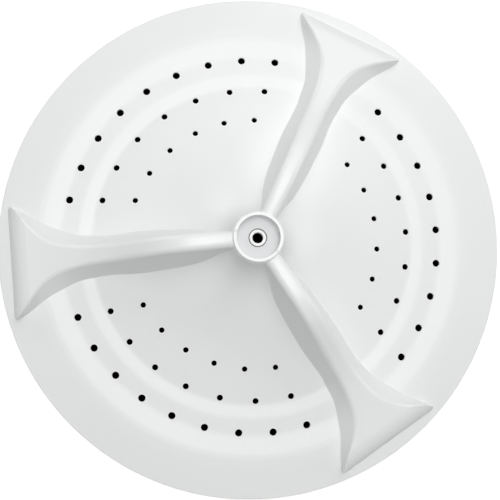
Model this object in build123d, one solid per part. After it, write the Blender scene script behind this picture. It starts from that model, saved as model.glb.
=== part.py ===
from build123d import *
import math
import os

# Pulsator of a top-loading washing machine: one injection moulding in white plastic. A shallow
# dish with a tall hub carries three hollow vanes that end in fishtails near the rim. Millimetres,
# +Z up, origin on the hub's axis in the plane of the rim's lower edge, first vane along +Y.

# Dish, seen from above. Heights are taken from the rim's lower edge.
DISH_R = 253.0
WALL = 3.0
MIDDLE_RING_LEVEL = 24.0
RIM_ROUND = 1.2

# The dish falls outwards in bands: a cone, a first flat, the holed band, a second flat, the rim.
CONE_START_R = 124.0
CONE_SLOPE = 11.4
FLAT_1_START_R = 159.5
FLAT_1_END_R = 173.0
FLAT_1_SLOPE = 1.0
FLAT_2_START_R = 190.0
FLAT_2_END_R = 211.0
HOLED_BAND_SLOPE = 7.0
SHOULDER_R = 223.0
SHOULDER_SLOPE = 7.5
RIM_SLOPE = 10.5
BAND_ROUNDS = [22.0, 25.0, 40.0, 45.0, 90.0]

# Hub: a collar round a recess, on a flare that runs out into the cone.
HUB_TOP = 103.0
COLLAR_R = 23.6
COLLAR_WALL = 3.3
COLLAR_STAND = 8.0
COLLAR_EDGE = 0.8
RECESS_DEPTH = 11.0
FLARE_TOP_R = 24.2
FLARE_TOP_LEAN = 2.7
FLARE_TOP_HANDLE = 37.6
FLARE_FOOT_HANDLE = 51.0
HUB_FLOOR = 9.0

# Hole in the recess floor for the fastening, its seat and the groove round the seat.
BOLT_HOLE_R = 5.1
SEAT_R = 7.7
SEAT_GROOVE = 1.0
SEAT_GROOVE_DEPTH = 2.5

# Two pry notches in the collar, placed from the first vane.
NOTCH_ANGLES = [103.3, 255.8]
NOTCH_WIDTH = 2.0
NOTCH_DEPTH = 2.2

# Drive socket in the boss under the hub floor.
BOSS_R = 17.0
BOSS_FOOT_LEVEL = 30.0
SPLINE_TEETH = 24
SPLINE_ROOT_R = 10.8
SPLINE_TIP_R = 9.6
SPLINE_LENGTH = 28.0
PILOT_R = 12.2

# Vanes. Each section gives its place as a share of the way from root to tip, the half width at
# the level of the middle ring of holes, the half width at the crest, and the crest's height
# above that level. The end rolls over to the dish, and the two tips are rounded seen from above.
VANES = 3
VANE_ROOT_R = 22.0
VANE_TIP_R = 240.5
VANE_SECTIONS = [
    (0.00, 8.4, 7.8, 75.0),
    (0.05, 12.0, 7.8, 76.5),
    (0.12, 18.8, 7.9, 77.3),
    (0.24, 22.2, 8.0, 75.4),
    (0.36, 22.9, 8.2, 63.5),
    (0.48, 22.0, 8.4, 44.5),
    (0.60, 20.4, 8.7, 28.8),
    (0.68, 21.8, 9.8, 21.4),
    (0.76, 26.1, 12.9, 16.6),
    (0.84, 33.8, 21.4, 13.0),
    (0.92, 45.7, 41.0, 10.2),
    (1.00, 57.3, 56.5, 7.6),
    (1.07, 68.0, 67.5, 5.6),
]
VANE_SINK = 14.0
VANE_CREST_ROUND = 6.0
VANE_END_RUN = 20.0
VANE_END_SLOPE = 78.0
VANE_END_FALL = 11.0
VANE_TIP_HALF = 58.2
VANE_TIP_RUN = 35.0
VANE_TIP_SPREAD = 19.3
VANE_TIP_ROUND = 6.0
INNER_ROUND = 0.5

# Water holes, in three rings within each sector between two vanes.
HOLE_RINGS = [(124.2, 2.7, 6, 14.15), (155.6, 3.0, 7, 13.08), (187.4, 3.6, 9, 10.46)]
MIDDLE_RING_R = HOLE_RINGS[1][0]

# Stiffening ribs of the underside.
RIB = 2.4
RIB_FOOT_LEVEL = 8.0
RIB_RISE_R = 90.0
RIB_ANGLE = 15.69
RIB_RINGS = [90.0, 140.0, 171.0, 214.0]

HUB_ROOF = HUB_TOP - RECESS_DEPTH - HUB_FLOOR
SECTOR = 360 / VANES
FIRST_VANE = 90
FAR = 2 * DISH_R
CURVE_POINTS = 24
UP = (Align.CENTER, Align.CENTER, Align.MIN)
DOWN = (Align.CENTER, Align.CENTER, Align.MAX)


def drop(start_r, end_r, slope):
    """Height lost between two radii on a straight slope."""
    return (end_r - start_r) * math.tan(math.radians(slope))


def bands():
    """Corners of the dish's bands outside the flare, as (radius, height)."""
    cone_start = MIDDLE_RING_LEVEL + drop(CONE_START_R, MIDDLE_RING_R, CONE_SLOPE)
    corners = [(CONE_START_R, cone_start)]
    runs = [
        (FLAT_1_START_R, CONE_SLOPE),
        (FLAT_1_END_R, FLAT_1_SLOPE),
        (FLAT_2_START_R, HOLED_BAND_SLOPE),
        (FLAT_2_END_R, 0),
        (SHOULDER_R, SHOULDER_SLOPE),
        (DISH_R, RIM_SLOPE),
    ]
    for end_r, slope in runs:
        start_r, height = corners[-1]
        corners.append((end_r, height - drop(start_r, end_r, slope)))
    return corners


def envelope():
    """Half section of the dish and hub under the collar, run on past the axis and the rim's foot."""
    corners = bands()
    cone_r, cone_z = corners[0]
    flare_top = HUB_TOP - COLLAR_STAND
    flare = Bezier(
        (FLARE_TOP_R, flare_top),
        (FLARE_TOP_R + FLARE_TOP_LEAN, flare_top - FLARE_TOP_HANDLE),
        (cone_r - FLARE_FOOT_HANDLE, cone_z + drop(0, FLARE_FOOT_HANDLE, CONE_SLOPE)),
        (cone_r, cone_z),
    )
    far = -DISH_R
    rim = FilletPolyline(*corners, (DISH_R, far), radius=[*BAND_ROUNDS, RIM_ROUND])
    back = Polyline((DISH_R, far), (far, far), (far, flare_top), (FLARE_TOP_R, flare_top))
    return make_face([flare, rim, back])


def turned(face):
    """Full turn of a half section, with what lies past the axis cut off."""
    right = Pos(FAR / 2, 0) * Rectangle(FAR, 2 * FAR)
    return revolve(Plane.XZ * (face & right), Axis.Z)


def dish_solid():
    """Dish and hub, filled down to the rim's foot, with the collar as a plain drum."""
    above_foot = Pos(0, FAR / 2) * Rectangle(2 * FAR, FAR)
    body = turned(envelope() & above_foot)
    drum = Pos(0, 0, HUB_TOP) * Cylinder(COLLAR_R, COLLAR_STAND + HUB_FLOOR, align=DOWN)
    return body + chamfer(drum.edges().sort_by(Axis.Z)[-1], COLLAR_EDGE)


def redrawn(edge):
    """The same edge, with a curve that isn't a line or an arc drawn as a spline through its points."""
    if edge.geom_type in (GeomType.LINE, GeomType.CIRCLE):
        return edge
    points = [edge @ (i / CURVE_POINTS) for i in range(CURVE_POINTS + 1)]
    return Spline(*points, tangents=(edge % 0, edge % 1))


def dish_hollow():
    """Space under the dish, one wall inside its top surface."""
    inner = make_face([redrawn(edge) for edge in offset(envelope(), -WALL).edges()])
    below_roof = Pos(0, HUB_ROOF - FAR / 2) * Rectangle(2 * FAR, FAR)
    return turned(inner & below_roof)


def vane_section(share, half_foot, half_crest, crest, inset):
    """One upright section across a vane, a trapezium with a rounded crest."""
    lean = math.atan2(half_foot - half_crest, crest)
    half_foot -= inset / math.cos(lean)
    half_crest += inset * math.tan(lean) - inset / math.cos(lean)
    crest -= inset
    half_low = half_foot + VANE_SINK * math.tan(lean)
    right = [(half_low, -VANE_SINK), (half_crest, crest)]
    left = [(-y, z) for y, z in reversed(right)]
    shape = make_face(Polyline(*right, *left, close=True))
    shape = fillet(shape.vertices().sort_by(Axis.Y)[-2:], max(VANE_CREST_ROUND - inset, INNER_ROUND))
    out = max(VANE_ROOT_R + inset, VANE_ROOT_R + share * (VANE_TIP_R - VANE_ROOT_R))
    return Plane((out, 0, MIDDLE_RING_LEVEL), x_dir=(0, 1, 0), z_dir=(1, 0, 0)) * shape


def crest_level(out):
    """Height of a vane's crest at a radius, read straight between the sections."""
    share = (out - VANE_ROOT_R) / (VANE_TIP_R - VANE_ROOT_R)
    for (share_0, *_, crest_0), (share_1, *_, crest_1) in zip(VANE_SECTIONS, VANE_SECTIONS[1:]):
        if share <= share_1:
            break
    return MIDDLE_RING_LEVEL + crest_0 + (crest_1 - crest_0) * (share - share_0) / (share_1 - share_0)


def vane_outline(inset):
    """Outline that trims a vane seen from above: it clears the sides and rounds the two tips."""
    half = VANE_TIP_HALF - inset
    narrow = half - drop(0, VANE_TIP_RUN, VANE_TIP_SPREAD)
    side = [(0, narrow), (VANE_TIP_R - VANE_TIP_RUN, narrow), (VANE_TIP_R - inset, half)]
    shape = make_face(Polyline(*side, *[(x, -y) for x, y in reversed(side)], close=True))
    return fillet(shape.vertices().group_by(Axis.X)[-1], VANE_TIP_ROUND - inset)


def vane(inset):
    """One vane along +X, its skin moved inwards by inset, rolled over and down at its end."""
    body = loft([vane_section(*row, inset) for row in VANE_SECTIONS])
    start_r = VANE_TIP_R - VANE_END_RUN
    start = Vector(start_r - inset, crest_level(start_r) - inset)
    foot = Vector(VANE_TIP_R - inset, bands()[-1][1] - inset)
    handle = (foot - start).length * 0.4
    fall, steep = math.radians(VANE_END_FALL), math.radians(VANE_END_SLOPE)
    roll = Bezier(
        start,
        start + Vector(math.cos(fall), -math.sin(fall)) * handle,
        foot + Vector(-math.cos(steep), math.sin(steep)) * handle,
        foot,
    )
    beyond = Polyline(foot, (foot.X, -FAR), (FAR, -FAR), (FAR, FAR), (start.X, FAR), start)
    rolled = body - Pos(0, FAR, 0) * extrude(Plane.XZ * make_face([roll, beyond]), 2 * FAR)
    return rolled & extrude(vane_outline(inset), HUB_TOP)


def around(piece, first=FIRST_VANE):
    """Copies of a piece, one for each vane."""
    return [Rot(0, 0, first + SECTOR * i) * piece for i in range(VANES)]


def ribs():
    """Radial ribs and rings under the dish, before they are trimmed by its top surface."""
    inner_r = BOSS_R - WALL
    outer_r = DISH_R - WALL / 2
    outline = Polyline(
        (inner_r, BOSS_FOOT_LEVEL),
        (RIB_RISE_R, RIB_FOOT_LEVEL),
        (outer_r, RIB_FOOT_LEVEL),
        (outer_r, HUB_ROOF),
        (inner_r, HUB_ROOF),
        close=True,
    )
    plate = extrude(Plane.XZ * make_face(outline), RIB / 2, both=True)
    pieces = []
    for turn in (-RIB_ANGLE, RIB_ANGLE):
        pieces += around(plate, FIRST_VANE + SECTOR / 2 + turn)
    for ring_r in RIB_RINGS:
        tube = Cylinder(ring_r + RIB / 2, HUB_ROOF, align=UP)
        tube -= Cylinder(ring_r - RIB / 2, HUB_ROOF, align=UP)
        pieces.append(Pos(0, 0, RIB_FOOT_LEVEL) * tube)
    return pieces


def drive_socket():
    """Splined socket for the drive shaft, with a plain pilot bore below it."""
    points = []
    for i in range(4 * SPLINE_TEETH):
        reach = SPLINE_ROOT_R if i % 4 in (0, 1) else SPLINE_TIP_R
        turn = 2 * math.pi * i / (4 * SPLINE_TEETH)
        points.append((reach * math.cos(turn), reach * math.sin(turn)))
    spline = extrude(make_face(Polyline(*points, close=True)), -SPLINE_LENGTH)
    pilot = Cylinder(PILOT_R, HUB_ROOF, align=DOWN)
    return Pos(0, 0, HUB_ROOF) * (spline + Pos(0, 0, -SPLINE_LENGTH) * pilot)


def hub_cuts():
    """Recess in the collar, hole in its floor, seat groove and pry notches."""
    floor = HUB_TOP - RECESS_DEPTH
    recess = Pos(0, 0, HUB_TOP) * Cylinder(COLLAR_R - COLLAR_WALL, RECESS_DEPTH, align=DOWN)
    hole = Pos(0, 0, floor) * Cylinder(BOLT_HOLE_R, FAR, align=DOWN)
    groove = Cylinder(SEAT_R + SEAT_GROOVE, SEAT_GROOVE_DEPTH, align=DOWN) - Cylinder(
        SEAT_R, SEAT_GROOVE_DEPTH, align=DOWN
    )
    cuts = [recess, hole, Pos(0, 0, floor) * groove]
    for turn in NOTCH_ANGLES:
        notch = Box(2 * COLLAR_WALL, NOTCH_WIDTH, NOTCH_DEPTH, align=DOWN)
        cuts.append(Rot(0, 0, FIRST_VANE + turn) * Pos(COLLAR_R - COLLAR_WALL / 2, 0, HUB_TOP) * notch)
    return cuts


def water_holes():
    """Upright holes through the dish, the same in every sector."""
    holes = []
    for ring_r, hole_r, count, step in HOLE_RINGS:
        hole = Pos(ring_r, 0) * Cylinder(hole_r, 2 * HUB_TOP)
        for i in range(count):
            turn = (i - (count - 1) / 2) * step
            holes += around(hole, FIRST_VANE + SECTOR / 2 + turn)
    return holes


def pulsator():
    """The finished moulding: outer skin, less the hollows and holes, with its ribs."""
    dish = dish_solid() - hub_cuts()
    boss = Pos(0, 0, HUB_ROOF) * Cylinder(BOSS_R, HUB_ROOF - BOSS_FOOT_LEVEL, align=DOWN)
    hollow = (dish_hollow() - boss + drive_socket()) + around(vane(WALL))
    shell = (dish + around(vane(0))) - [hollow, *water_holes()]
    return shell + [piece & dish for piece in ribs()]


os.makedirs("parts", exist_ok=True)
export_step(pulsator(), "parts/pulsator.step")
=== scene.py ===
import math

import bmesh
import bpy
from mathutils import Matrix, Vector


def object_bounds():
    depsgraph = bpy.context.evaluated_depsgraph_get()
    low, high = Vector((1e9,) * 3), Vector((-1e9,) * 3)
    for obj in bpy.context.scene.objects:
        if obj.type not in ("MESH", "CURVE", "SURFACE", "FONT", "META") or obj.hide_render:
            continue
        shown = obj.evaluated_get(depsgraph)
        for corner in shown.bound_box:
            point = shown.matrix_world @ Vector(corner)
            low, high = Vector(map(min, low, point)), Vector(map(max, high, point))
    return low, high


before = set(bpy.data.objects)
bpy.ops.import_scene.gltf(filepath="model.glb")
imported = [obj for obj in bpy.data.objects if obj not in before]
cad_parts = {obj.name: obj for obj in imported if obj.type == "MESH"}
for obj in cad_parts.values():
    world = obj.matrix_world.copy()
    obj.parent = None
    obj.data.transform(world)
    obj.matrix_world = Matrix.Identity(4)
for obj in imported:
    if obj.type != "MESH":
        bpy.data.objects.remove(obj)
cad_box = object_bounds()


# Pulsator: the whole wash plate, one injection moulding in white polypropylene. Its faces come out
# of a polished mould, so they are glossy with a very faint orange peel, and the colour is even
# apart from the slow drift of thickness and flow away from the gate in the hub, and the shade
# painted into the hub's recess and its groove.
class Wire:
    """An output socket in a material, so that shader maths reads as plain sums."""

    def __init__(self, tree, socket=None):
        self.tree = tree
        self.socket = socket

    def node(self, kind, settings=None, sockets=None, out=0):
        """A new node of any kind: its settings first, then values or links on its sockets."""
        made = self.tree.nodes.new(kind)
        for name, value in (settings or {}).items():
            setattr(made, name, value)
        for name, value in (sockets or {}).items():
            if isinstance(value, Wire):
                self.tree.links.new(value.socket, made.inputs[name])
            else:
                made.inputs[name].default_value = value
        return Wire(self.tree, made.outputs[out] if len(made.outputs) else None)

    def maths(self, operation, left, right):
        return self.node("ShaderNodeMath", {"operation": operation}, {0: left, 1: right})

    def __add__(self, other):
        return self.maths("ADD", self, other)

    def __radd__(self, other):
        return self.maths("ADD", other, self)

    def __sub__(self, other):
        return self.maths("SUBTRACT", self, other)

    def __rsub__(self, other):
        return self.maths("SUBTRACT", other, self)

    def __mul__(self, other):
        return self.maths("MULTIPLY", self, other)

    def __rmul__(self, other):
        return self.maths("MULTIPLY", other, self)

    def __lt__(self, other):
        return self.maths("LESS_THAN", self, other)

    def __gt__(self, other):
        return self.maths("GREATER_THAN", self, other)


def new_material(name):
    """An empty node material, and the wire that its nodes start from."""
    material = bpy.data.materials.new(name)
    material.use_nodes = True
    material.node_tree.nodes.clear()
    return material, Wire(material.node_tree)


def noise(place, scale, detail):
    """Soft noise from 0 to 1 over a surface, with about scale patches to the metre."""
    sockets = {"Vector": place, "Scale": scale, "Detail": detail}
    return place.node("ShaderNodeTexNoise", {}, sockets, out="Fac")


def blend(factor, first, second):
    """The first colour where the factor is 0, the second where it is 1."""
    colours = {"Factor": factor, "A": first, "B": second}
    return factor.node("ShaderNodeMix", {"data_type": "RGBA"}, colours, out=2)


def from_axis(place):
    """Distance from the hub's axis."""
    flat = place.node("ShaderNodeVectorMath", {"operation": "MULTIPLY"}, {0: place, 1: (1.0, 1.0, 0.0)})
    return place.node("ShaderNodeVectorMath", {"operation": "LENGTH"}, {0: flat}, out="Value")


THIN_WHITE, THICK_WHITE = (0.803, 0.81, 0.812, 1.0), (0.82, 0.826, 0.826, 1.0)
DRIFT_SCALE, HAZE_SCALE, PEEL_SCALE = 9.0, 60.0, 420.0
DRIFT_DETAIL, HAZE_DETAIL, PEEL_DETAIL = 2.0, 3.0, 2.0
POLISH, HAZINESS = 0.28, 0.05
PEEL_STRENGTH, PEEL_DEPTH = 0.04, 0.0003
PLASTIC_IOR = 1.5

plastic, start = new_material("white_polypropylene")
place = start.node("ShaderNodeTexCoord", out="Object")
tint = blend(noise(place, DRIFT_SCALE, DRIFT_DETAIL), THIN_WHITE, THICK_WHITE)
haze = noise(place, HAZE_SCALE, HAZE_DETAIL)
peel = noise(place, PEEL_SCALE, PEEL_DETAIL)

# The floor of the hub's recess, outside the polished seat ring, is painted greyer: painted shade for the
# shade that falls in the recess. The groove round the seat is painted near-black: painted shade for its
# bottom.
RECESS_SHADE_GREY = (0.602, 0.607, 0.613, 1.0)
# Painted shade: near-black for the bottom of the groove round the seat.
GROOVE_SHADE_BLACK = (0.05, 0.05, 0.05, 1.0)
RECESS_R, GROOVE_R, SEAT_R = 0.0202, 0.0088, 0.0076
RECESS_DEPTH, GROOVE_DEPTH = 0.011, 0.003
ABOVE_FLOOR, BELOW_FLOOR = 0.0005, 0.0002
RECESS_LEVEL = cad_box[1][2] - RECESS_DEPTH

reach = from_axis(place)
height = start.node("ShaderNodeSeparateXYZ", {}, {"Vector": place}, out="Z")
low = (height < RECESS_LEVEL + ABOVE_FLOOR) * (height > RECESS_LEVEL - GROOVE_DEPTH)
sunk = low * (height < RECESS_LEVEL - BELOW_FLOOR)
# Mask for the painted shade on the recess floor.
recess_shade = low * (reach < RECESS_R) * (reach > GROOVE_R)
# Mask for the painted shade at the bottom of the groove round the seat.
groove_shade = sunk * (reach < GROOVE_R) * (reach > SEAT_R)
# The plastic's colour, with the painted shade of the recess floor and of the groove.
tint_and_painted_shade = blend(groove_shade, blend(recess_shade, tint, RECESS_SHADE_GREY), GROOVE_SHADE_BLACK)
grain = start.node("ShaderNodeBump", {}, {"Strength": PEEL_STRENGTH, "Distance": PEEL_DEPTH, "Height": peel})
skin = start.node(
    "ShaderNodeBsdfPrincipled",
    {},
    {"Base Color": tint_and_painted_shade, "Roughness": POLISH + HAZINESS * haze, "IOR": PLASTIC_IOR, "Normal": grain},
)
start.node("ShaderNodeOutputMaterial", {}, {"Surface": skin})

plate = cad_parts["pulsator"]
plate.data.materials.clear()
plate.data.materials.append(plastic)


# Studio floor: seamless white card. It glows only for the camera and for reflections, and only
# outside the plate, so that it photographs as white and keeps the plate's shadow. Under the plate it is
# painted black, as painted shade, so that the water holes look dark.
# Far off, where the lamps don't reach, the glow alone makes it white.
def seen_rays(start):
    """1 for rays from the camera, a gloss or a clear body, and 0 for rays that light things."""
    camera_ray = start.node("ShaderNodeLightPath", out="Is Camera Ray")
    glossy_ray = start.node("ShaderNodeLightPath", out="Is Glossy Ray")
    clear_ray = start.node("ShaderNodeLightPath", out="Is Transmission Ray")
    return camera_ray + glossy_ray + clear_ray


FLOOR_SIZE = 12.0
CARD_WHITE = 0.35
GLOW_NEAR, GLOW_FAR = 0.8, 1.0
GLOW_START, GLOW_RUN = 1.0, 2.0
RIM_MARGIN = 0.001
PLATE_R = cad_box[1][0] - RIM_MARGIN

card, start = new_material("white_card")
reach = from_axis(start.node("ShaderNodeTexCoord", out="Object"))
# Outside the plate the card is white and glows. Under the plate it is painted black, as painted shade
# beneath the plate.
outside = reach > PLATE_R
beyond = start.node("ShaderNodeClamp", {}, {"Value": (reach - GLOW_START) * (1 / GLOW_RUN)})
glow = GLOW_NEAR + (GLOW_FAR - GLOW_NEAR) * beyond
paper = start.node(
    "ShaderNodeBsdfPrincipled",
    {},
    {
        "Base Color": CARD_WHITE * outside,
        "Roughness": 1.0,
        "Specular IOR Level": 0.0,
        "Emission Color": outside * seen_rays(start) * glow,
        "Emission Strength": 1.0,
    },
)
start.node("ShaderNodeOutputMaterial", {}, {"Surface": paper})

sheet = bmesh.new()
bmesh.ops.create_grid(sheet, x_segments=1, y_segments=1, size=FLOOR_SIZE / 2)
floor_mesh = bpy.data.meshes.new("studio_floor")
sheet.to_mesh(floor_mesh)
sheet.free()
floor_mesh.materials.append(card)
floor = bpy.data.objects.new("studio_floor", floor_mesh)
bpy.context.scene.collection.objects.link(floor)


# Lights: nine big round soft boxes on stands, all aimed at the hub. The strongest hang overhead, and
# two stand low to graze the plate. The white room hardly lights the plate but shows in its gloss.
SOFT_BOX_SIZE = 1.6
SOFT_BOX_RANGE = 2.4
SOFT_BOXES = [
    (0, 88, 15.0),
    (60, 75, 4.5),
    (120, 75, 13.0),
    (90, 55, 5.0),
    (90, 35, 9.0),
    (240, 35, 6.5),
    (300, 35, 5.0),
    (30, 14, 11.0),
    (150, 14, 11.5),
]
ROOM_LIGHT = 0.1


def soft_box(azimuth, elevation, power):
    """A round area lamp that looks at the hub. Azimuth 90 is along +Y."""
    name = f"soft_box_{azimuth}_{elevation}"
    lamp = bpy.data.lights.new(name, "AREA")
    lamp.shape = "DISK"
    lamp.size = SOFT_BOX_SIZE
    lamp.energy = power
    turn, rise = math.radians(azimuth), math.radians(elevation)
    way = Vector((math.cos(turn) * math.cos(rise), math.sin(turn) * math.cos(rise), math.sin(rise)))
    holder = bpy.data.objects.new(name, lamp)
    holder.location = way * SOFT_BOX_RANGE
    holder.rotation_mode = "QUATERNION"
    holder.rotation_quaternion = way.to_track_quat("Z", "Y")
    bpy.context.scene.collection.objects.link(holder)


for row in SOFT_BOXES:
    soft_box(*row)

room = bpy.data.worlds.new("white_room")
room.use_nodes = True
room.node_tree.nodes.clear()
start = Wire(room.node_tree)
walls = start.node(
    "ShaderNodeBackground",
    {},
    {"Color": (1.0, 1.0, 1.0, 1.0), "Strength": ROOM_LIGHT + (1.0 - ROOM_LIGHT) * seen_rays(start)},
)
start.node("ShaderNodeOutputWorld", {}, {"Surface": walls})
bpy.context.scene.world = room


# Camera: almost straight above the plate, leaning a little, far enough off for little perspective.
# It leans along uphill, a direction seen from above, and is rolled so that the first vane points
# to the upper right.
CAMERA_RANGE = 0.933
CAMERA_LEAN = math.radians(5.86)
CAMERA_ROLL = math.radians(50.0)
UPHILL = math.radians(75.3)
AIM_LEVEL = 0.024
SHIFT_RIGHT = 0.0028
SHIFT_UP = 0.0060
SENSOR = 36.0
FRAME_WIDTH = 0.5

uphill = Vector((math.cos(UPHILL), math.sin(UPHILL), 0.0))
across = Vector((-math.sin(UPHILL), math.cos(UPHILL), 0.0))
upright = Vector((0.0, 0.0, 1.0))
back = upright * math.cos(CAMERA_LEAN) - uphill * math.sin(CAMERA_LEAN)
slope = uphill * math.cos(CAMERA_LEAN) + upright * math.sin(CAMERA_LEAN)
right = slope * math.cos(CAMERA_ROLL) - across * math.sin(CAMERA_ROLL)
up = slope * math.sin(CAMERA_ROLL) + across * math.cos(CAMERA_ROLL)
lens = bpy.data.cameras.new("photo_camera")
lens.sensor_width = SENSOR
lens.lens = SENSOR * CAMERA_RANGE / FRAME_WIDTH
camera = bpy.data.objects.new("photo_camera", lens)
spot = upright * AIM_LEVEL + back * CAMERA_RANGE - right * SHIFT_RIGHT - up * SHIFT_UP
camera.matrix_world = Matrix.Translation(spot) @ Matrix((right, up, back)).transposed().to_4x4()
bpy.context.scene.collection.objects.link(camera)
bpy.context.scene.camera = camera
bpy.context.scene.view_settings.view_transform = "Standard"
